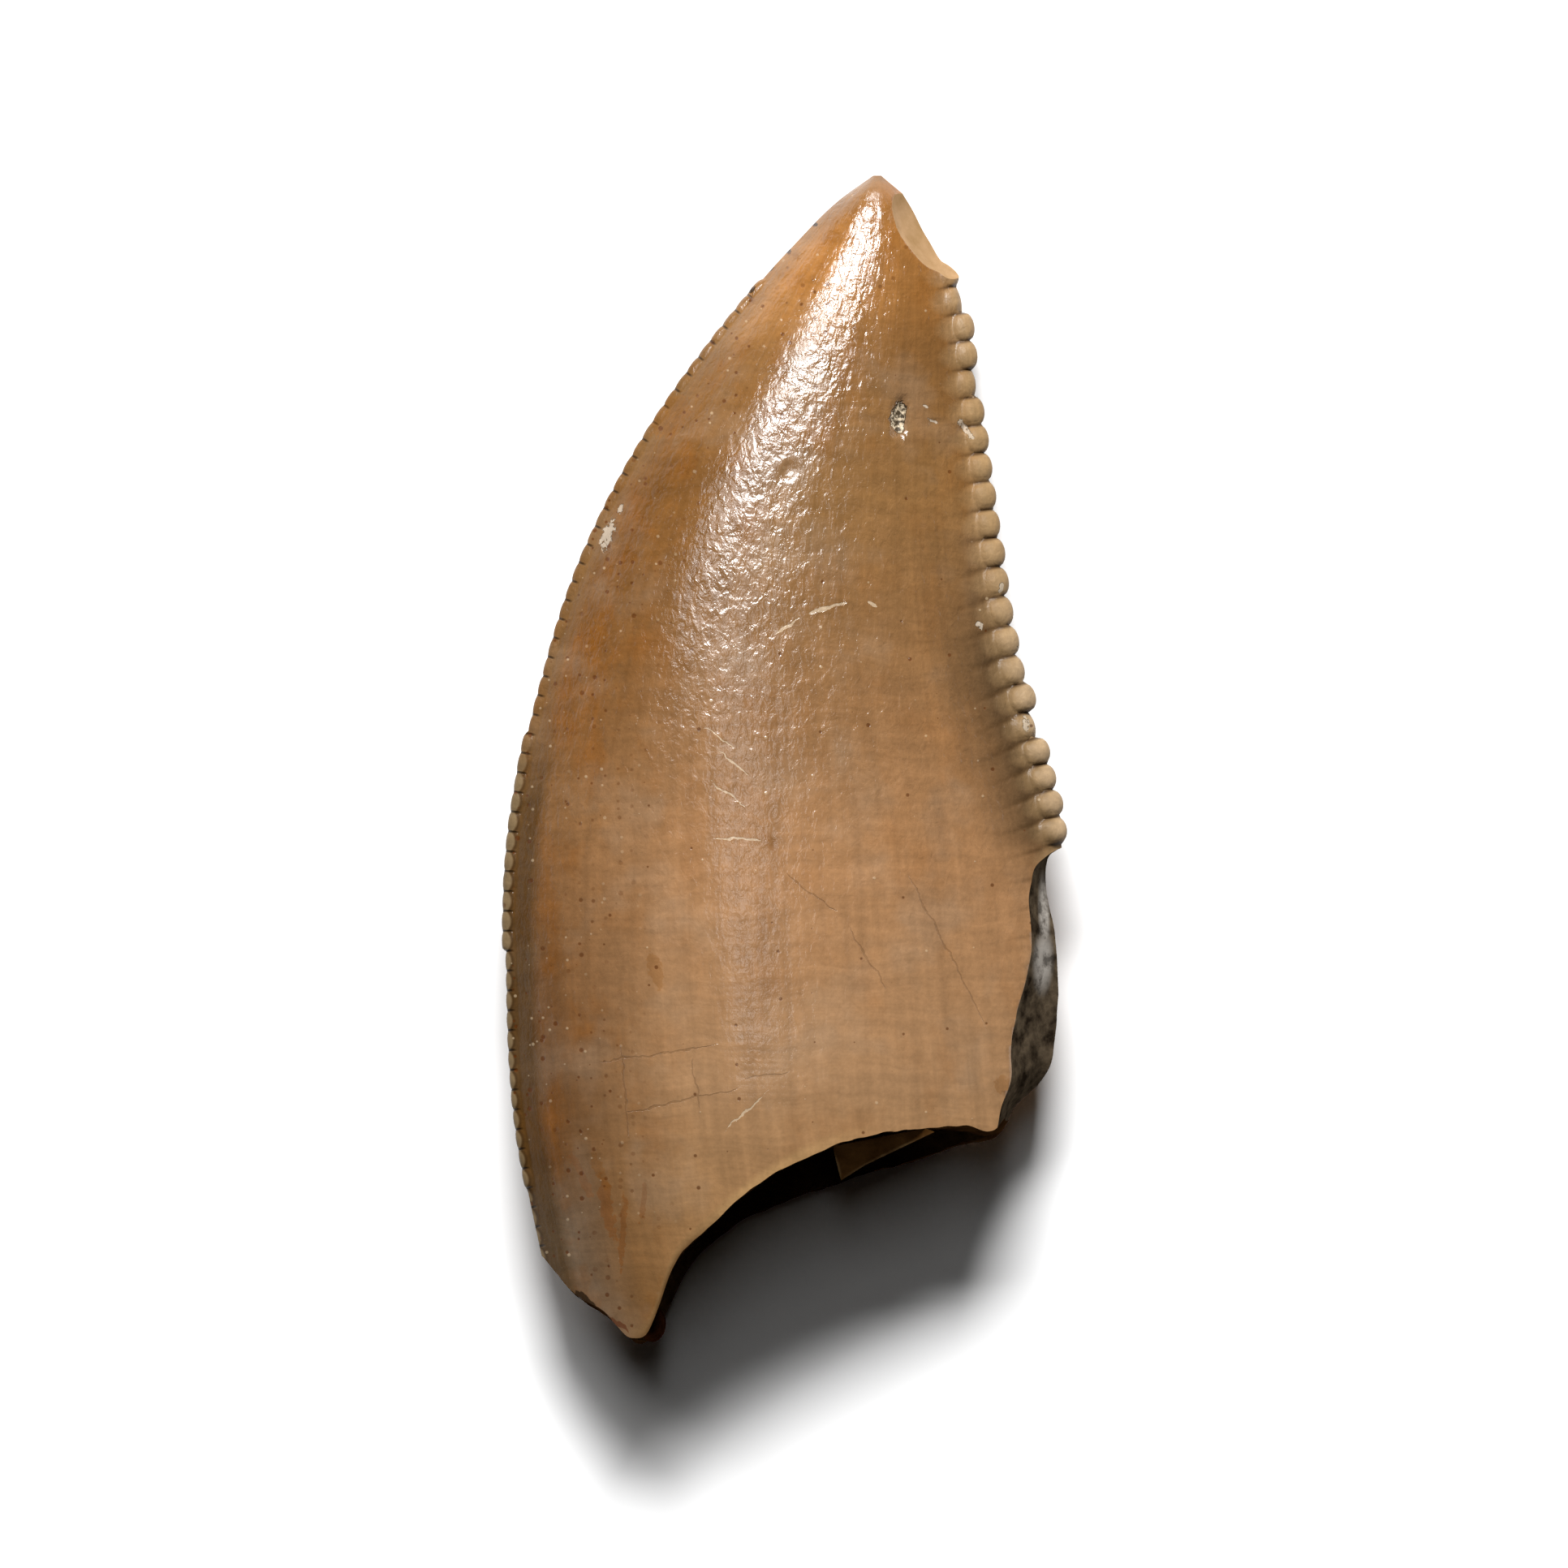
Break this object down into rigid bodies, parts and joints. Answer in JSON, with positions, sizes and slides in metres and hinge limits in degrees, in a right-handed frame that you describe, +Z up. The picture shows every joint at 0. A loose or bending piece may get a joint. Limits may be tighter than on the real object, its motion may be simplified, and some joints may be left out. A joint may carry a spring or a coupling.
{
  "type": "fossil dinosaur tooth",
  "caption": "Small blade-shaped fossil tooth crown, curved to a chipped tip, with serrated front and back edges and a hollow broken base.",
  "frame": {"origin": "on the surface that the tooth lies on, under the middle of its bounding box", "axes": "+Y from the broken base towards the tip, +Z up out of the labial face, +X towards the edge with the larger denticles"},
  "size_m": [0.008, 0.0164, 0.0034],
  "materials": {
    "enamel": "worn satin fossil enamel, tan brown with darker edges, cream chips and grey-brown dentine where it is broken"
  },
  "bodies": {
    "root": {"tooth": "enamel"}
  },
  "joints": []
}
